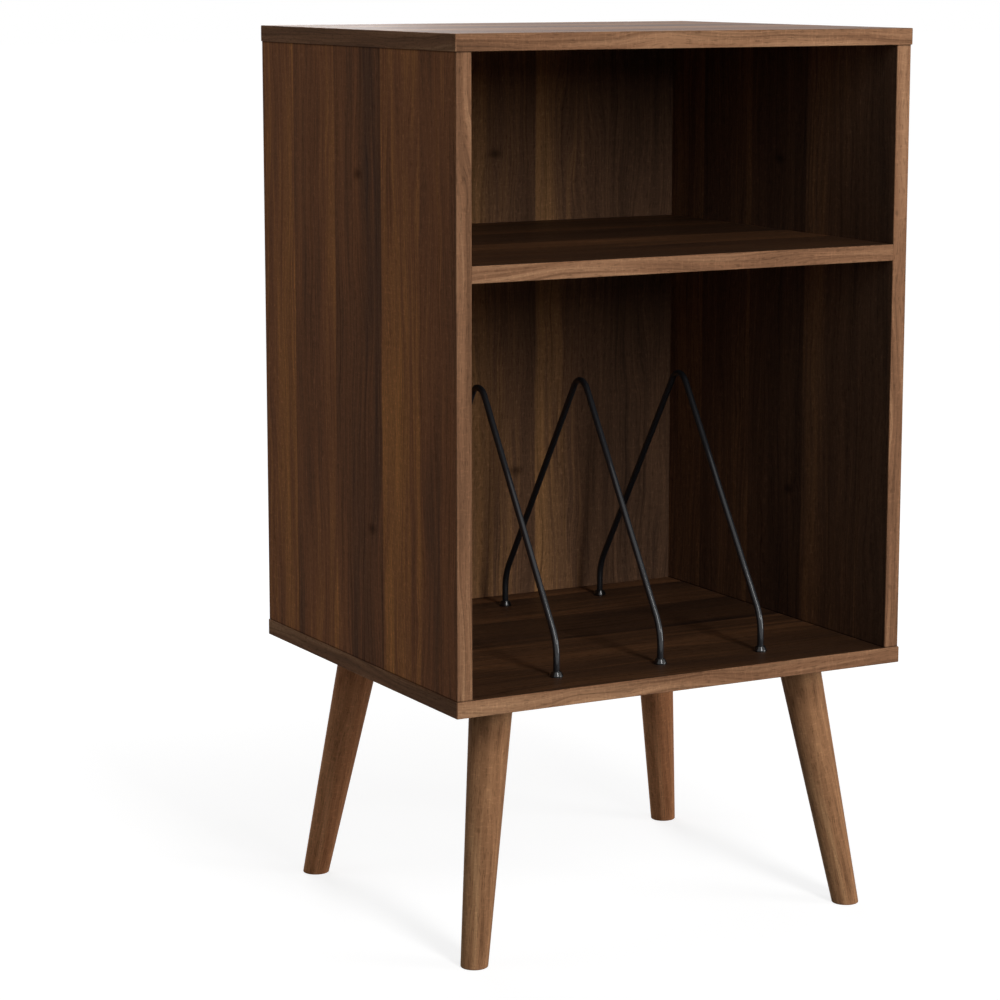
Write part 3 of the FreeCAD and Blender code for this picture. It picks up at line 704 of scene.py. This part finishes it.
# %% [markdown]
# ## Wire dividers
# Each divider is one length of 6 mm steel wire, bent three times into an A and coated black. A curve with a
# round bevel would do, but bending is what the maker does, so the wire is pushed and bent here the same way:
# a ring is extruded along the straight runs and spun round the centre of each bend. The turn of a foot
# follows from the slanted run, which goes straight from the foot's bend to the top one.

# %% Sizes of the wire
WIRE_RADIUS = 3.0
FOOT_STRAIGHT = 17.5
FOOT_BEND = 47.0
TOP_BEND = 14.0

base_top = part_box("base_panel")[1].z
wire_low, wire_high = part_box("middle_divider")
wire_middle = (wire_low + wire_high) / 2
half_span = (wire_high.y - wire_low.y) / 2 - WIRE_RADIUS * MM
bend_height = base_top + FOOT_STRAIGHT * MM
rear_foot = Vector((wire_middle.x, wire_middle.y + half_span, wire_low.z))
rear_bend = Vector((wire_middle.x, wire_middle.y + half_span - FOOT_BEND * MM, bend_height))
front_bend = Vector((wire_middle.x, wire_middle.y - half_span + FOOT_BEND * MM, bend_height))
top_bend = Vector((wire_middle.x, wire_middle.y, wire_high.z - (WIRE_RADIUS + TOP_BEND) * MM))
to_top = top_bend - rear_bend
bend_difference = (FOOT_BEND - TOP_BEND) * MM
foot_turn = math.atan2(to_top.z, to_top.y) - math.acos(bend_difference / to_top.length)
run = math.sqrt(to_top.length_squared - bend_difference ** 2)
slant = Vector((0, -math.sin(foot_turn), math.cos(foot_turn)))
print("a foot turns", round(math.degrees(foot_turn), 1), "degrees, a run is", round(run / MM, 1), "mm long")

# %% [markdown]
# ### Bending the wire
# The wire starts at the rear foot and follows the bender: up, round, along the slant, over the top, and down
# to the front foot in the same steps. Only the middle divider is bent, and the other two are copies of it.

# %% Bend the wire
WIRE_SIDES = 24
FOOT_BEND_STEPS = 14
TOP_BEND_STEPS = 22
WIRE_END_ROUND = 0.6
WIRE_SMOOTH_ANGLE = 40.0


def on_wire_end(place):
    """True on the rims of the two feet."""
    return place.z < wire_low.z + WIRE_END_ROUND * MM / 2


wire = start_ring("middle_wire_divider", rear_foot, WIRE_RADIUS * MM, WIRE_SIDES)
push((0, 0, bend_height - wire_low.z))
bend(rear_bend, foot_turn, FOOT_BEND_STEPS)
push(slant * run)
bend(top_bend, math.pi - 2 * foot_turn, TOP_BEND_STEPS)
push(Vector((0, slant.y, -slant.z)) * run)
bend(front_bend, foot_turn, FOOT_BEND_STEPS)
push((0, 0, wire_low.z - bend_height))
bpy.ops.mesh.select_all(action="SELECT")
bpy.ops.mesh.fill_holes(sides=0)
round_edges(wire, on_wire_end, WIRE_END_ROUND * MM)
finish_piece(WIRE_SMOOTH_ANGLE)

wires = {"middle": wire}
for side in ("left", "right"):
    offset = (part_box(f"{side}_divider")[0].x - wire_low.x, 0, 0)
    wires[side] = copy_piece(wire, f"{side}_wire_divider", offset)
# Powder coat with a clear skin on steel wire: an even satin black, with a thin highlight along the bends
wire_coat = plain_material(
    "satin_black_powder_coat", "#16171a", "#1b1c1f", spot_size=1.4, roughness=0.5, relief=0.01, gloss=0.15,
    coat=0.6,
)
for side, piece in wires.items():
    piece.data.materials.append(wire_coat)
    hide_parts(f"{side}_divider")
    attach(piece, f"{side}_divider")
print(len(wires), "wires, each with", len(wire.data.polygons), "faces")

# %% [markdown]
# ## Collars
# Each wire foot stands in a moulded black bush, sunk in the base panel, and only its conical collar shows. A
# turned profile could be spun, but stacking rings keeps each size readable: sleeve, flange, lip, cone, and
# then down inside to the bore's floor, which shows when a divider is lifted out. Its edges are rounded,
# because moulded edges always are, and that is where the small bright glints come from.

# %% Collars
COLLAR_SIDES = 48
SLEEVE_RADIUS = 5.0
COLLAR_RADIUS = 6.2
COLLAR_LIP = 1.2
COLLAR_TOP_RADIUS = 4.5
BORE_RADIUS = 3.06
COLLAR_ROUND = 0.35
COLLAR_SMOOTH_ANGLE = 30.0

bush_low, bush_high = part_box("divider_bushes")
centre = Vector((wire_middle.x, rear_foot.y, bush_low.z))
top_rim_middle = (COLLAR_TOP_RADIUS + BORE_RADIUS) / 2


def on_collar(place):
    """True clear of the base panel, outside the bore."""
    from_axis = math.hypot(place.x - centre.x, place.y - centre.y)
    return place.z > base_top + COLLAR_ROUND * MM and from_axis > top_rim_middle * MM


collar = start_ring("middle_rear_collar", centre, SLEEVE_RADIUS * MM, COLLAR_SIDES, fill="NGON")
push((0, 0, base_top - bush_low.z))
push((0, 0, 0))
resize(centre, COLLAR_RADIUS / SLEEVE_RADIUS)
push((0, 0, COLLAR_LIP * MM))
push((0, 0, bush_high.z - base_top - COLLAR_LIP * MM))
resize(centre, COLLAR_TOP_RADIUS / COLLAR_RADIUS)
push((0, 0, 0))
resize(centre, BORE_RADIUS / COLLAR_TOP_RADIUS)
push((0, 0, wire_low.z - bush_high.z))
bpy.ops.mesh.edge_face_add()
round_edges(collar, on_collar, COLLAR_ROUND * MM)
finish_piece(COLLAR_SMOOTH_ANGLE)

collars = [collar]
for side in wires:
    for end, place_y in (("rear", rear_foot.y), ("front", 2 * wire_middle.y - rear_foot.y)):
        offset = Vector((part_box(f"{side}_divider")[0].x - wire_low.x, place_y - rear_foot.y, 0))
        if offset.length > MM:
            collars.append(copy_piece(collar, f"{side}_{end}_collar", offset))
# Moulded nylon with a polished skin: deep black, with small sharp glints
nylon = plain_material(
    "black_nylon", "#0b0b0c", "#0f0f10", spot_size=0.8, roughness=0.35, relief=0.002, gloss=0.15, coat=0.7
)
for piece in collars:
    piece.data.materials.append(nylon)
    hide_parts("divider_bushes")
    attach(piece, "cabinet")
print(len(collars), "collars, each with", len(collar.data.polygons), "faces")

# %% [markdown]
# ## The floor and the world
# The stand is photographed on white. A floor that is merely pale would come out grey where the light is low,
# so the camera sees mostly plain white there, and a grey floor that is added to it carries the shadow.
# Other rays see a duller floor, so that only a little light comes back up into the cabinet.

# %% Floor
FLOOR_SIZE = 60.0
FLOOR_COLOUR = "#8f8f8f"
# Near the stand the camera sees this much plain white, and the lamps fill a grey floor up to full white
PLAIN_WHITE = 0.83
SHADOW_COLOUR = "#a6a6a6"
# Metres from the middle at which the floor starts to turn all white, and where it is all white
SHADOW_REACH = (0.4, 1.8)


def seen_directly(tree):
    """1 for rays from the camera, also by way of a reflection or through glass, and 0 for the rest."""
    ray = add(tree, "ShaderNodeLightPath", {}).outputs
    inputs = {0: ray["Is Glossy Ray"], 1: ray["Is Transmission Ray"]}
    mirrored = add(tree, "ShaderNodeMath", inputs, operation="MAXIMUM")
    inputs = {0: ray["Is Camera Ray"], 1: mirrored.outputs[0]}
    return add(tree, "ShaderNodeMath", inputs, operation="MAXIMUM").outputs[0]


bpy.ops.object.select_all(action="DESELECT")
bpy.ops.mesh.primitive_plane_add(size=FLOOR_SIZE, location=(0, 0, cad_box[0].z))
floor = bpy.context.object
floor.name = "floor"
# Matt white paper: no sheen, and only a soft grey where the stand keeps the light off
paper, tree = new_material("white_paper_sweep")
paper_floor = add(tree, "ShaderNodeBsdfDiffuse", {"Color": linear(FLOOR_COLOUR)})
coordinates = add(tree, "ShaderNodeTexCoord", {})
distance = add(tree, "ShaderNodeVectorMath", {0: coordinates.outputs["Object"]}, operation="LENGTH")
whiteness = add(
    tree, "ShaderNodeMapRange",
    {
        "Value": distance.outputs["Value"], "From Min": SHADOW_REACH[0], "From Max": SHADOW_REACH[1],
        "To Min": PLAIN_WHITE, "To Max": 1.0,
    },
)
white = add(tree, "ShaderNodeEmission", {"Strength": whiteness.outputs[0]})
shadow = add(tree, "ShaderNodeBsdfDiffuse", {"Color": linear(SHADOW_COLOUR)})
seen = add(tree, "ShaderNodeAddShader", {0: white.outputs[0], 1: shadow.outputs[0]})
inputs = {0: seen_directly(tree), 1: paper_floor.outputs[0], 2: seen.outputs[0]}
mixed = add(tree, "ShaderNodeMixShader", inputs)
add(tree, "ShaderNodeOutputMaterial", {"Surface": mixed.outputs[0]})
floor.data.materials.append(paper)
print("floor", FLOOR_SIZE, "m wide")

# %% [markdown]
# ### The world
# Beyond the floor the camera looks into the world, which has to be as white as the floor. A white world would
# also light the stand from all sides and wash out its shade, so the light it gives is held far lower.

# %% World
WORLD_LIGHT = 0.02

world = bpy.data.worlds.new("white_studio")
world.use_nodes = True
tree = world.node_tree
tree.nodes.clear()
inputs = {"Value": seen_directly(tree), "To Min": WORLD_LIGHT, "To Max": 1.0}
level = add(tree, "ShaderNodeMapRange", inputs)
sky = add(tree, "ShaderNodeBackground", {"Color": linear("#ffffff"), "Strength": level.outputs[0]})
add(tree, "ShaderNodeOutputWorld", {"Surface": sky.outputs[0]})
bpy.context.scene.world = world
print("world light", WORLD_LIGHT)

# %% [markdown]
# ## Light
# Four soft boxes surround the stand, as in a small studio. The key is low on the front right, and it leaves
# the left side in shade. A tall one straight ahead and higher up lets the top and the shelf cast their shade
# on the back panel. One on the left opens the shade a little, and one behind gives the top its sheen and
# shows the back when the stand is turned round. Sun lamps would be simpler, but their light is as strong at
# the back of a room as at its front, and their reflections are points.

# %% Light
# Each box as (degrees to the right of the front, metres away, metres up to its middle, metres wide,
# metres tall, share of full light)
SOFT_BOXES = {
    "key_box": (50.0, 2.0, 0.5, 0.8, 0.8, 0.43),
    "front_box": (-1.0, 2.3, 1.81, 0.5, 1.8, 0.62),
    "left_box": (-110.0, 2.0, 1.3, 1.2, 1.2, 0.09),
    "back_box": (175.0, 2.0, 1.5, 1.2, 1.2, 0.25),
}
AIM = Vector((0.0, -0.2, 0.45))

for name, (azimuth, distance, height, width, tall, share) in SOFT_BOXES.items():
    around = math.radians(azimuth)
    place = Vector((AIM.x + distance * math.sin(around), AIM.y - distance * math.cos(around), height))
    lamp = bpy.data.lights.new(name, "AREA")
    lamp.shape = "RECTANGLE"
    lamp.size = width
    lamp.size_y = tall
    # A surface at the aim that faces the box gets the share of full light, at which white renders as white
    lamp.energy = share * math.pi ** 2 * (place - AIM).length_squared
    light = bpy.data.objects.new(name, lamp)
    bpy.context.collection.objects.link(light)
    light.location = place
    light.rotation_euler = (place - AIM).to_track_quat("Z", "Y").to_euler()
print(len(SOFT_BOXES), "soft boxes")

# %% [markdown]
# ## Camera
# The stand is seen from the front left, a little from above and through a long lens, as furniture usually is.
# A constraint could aim the camera, but its place and two turns are all that is needed, and they stay
# readable.

# %% Camera
# Sensor, lens and place in mm, turns in degrees
SENSOR = 36.0
LENS = 110.44
CAMERA_PLACE = (-1443.0, -2493.7, 886.2)
LOOK_DOWN = 9.93
LOOK_RIGHT = 28.58

lens = bpy.data.cameras.new("camera")
lens.sensor_width = SENSOR
lens.lens = LENS
camera = bpy.data.objects.new("camera", lens)
bpy.context.collection.objects.link(camera)
camera.location = Vector(CAMERA_PLACE) * MM
camera.rotation_euler = (math.radians(90 - LOOK_DOWN), 0, math.radians(-LOOK_RIGHT))
bpy.context.scene.camera = camera
bpy.context.scene.view_settings.view_transform = "Standard"
print("camera", round(camera.location.xy.length, 2), "m from the middle of the stand")
